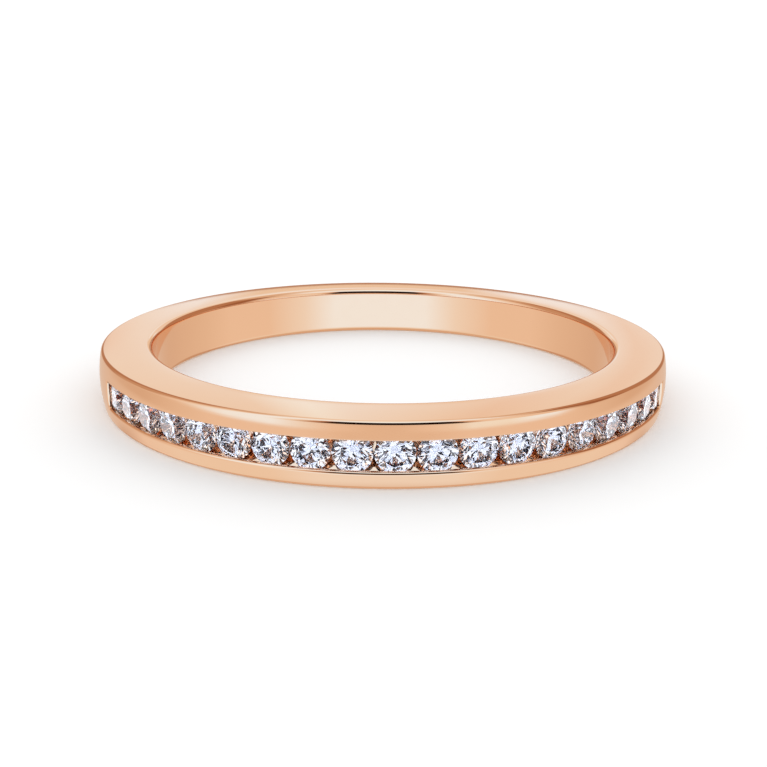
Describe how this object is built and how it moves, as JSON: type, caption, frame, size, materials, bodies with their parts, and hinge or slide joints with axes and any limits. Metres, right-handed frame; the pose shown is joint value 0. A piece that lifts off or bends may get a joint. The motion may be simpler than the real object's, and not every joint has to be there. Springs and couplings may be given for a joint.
{
  "type": "wedding band",
  "caption": "Channel-set wedding band: a polished rose gold ring with flat sides, a domed outer wall and a row of round brilliant stones set flush across its front.",
  "frame": {"origin": "middle of the finger bore, on its axis and halfway between the two side faces", "axes": "+Z along the finger; the centre stone faces -Y; +X is to the right seen from the front"},
  "size_m": [0.0206, 0.0206, 0.002],
  "materials": {
    "rose_gold": "high polish",
    "stone": "polished facets"
  },
  "bodies": {
    "root": {"band": "rose_gold", "stone_01": "stone", "stone_02": "stone", "stone_03": "stone", "stone_04": "stone", "stone_05": "stone", "stone_06": "stone", "stone_07": "stone", "stone_08": "stone", "stone_09": "stone", "stone_10": "stone", "stone_11": "stone", "stone_12": "stone", "stone_13": "stone", "stone_14": "stone", "stone_15": "stone", "stone_16": "stone", "stone_17": "stone", "stone_18": "stone", "stone_19": "stone"}
  },
  "joints": []
}
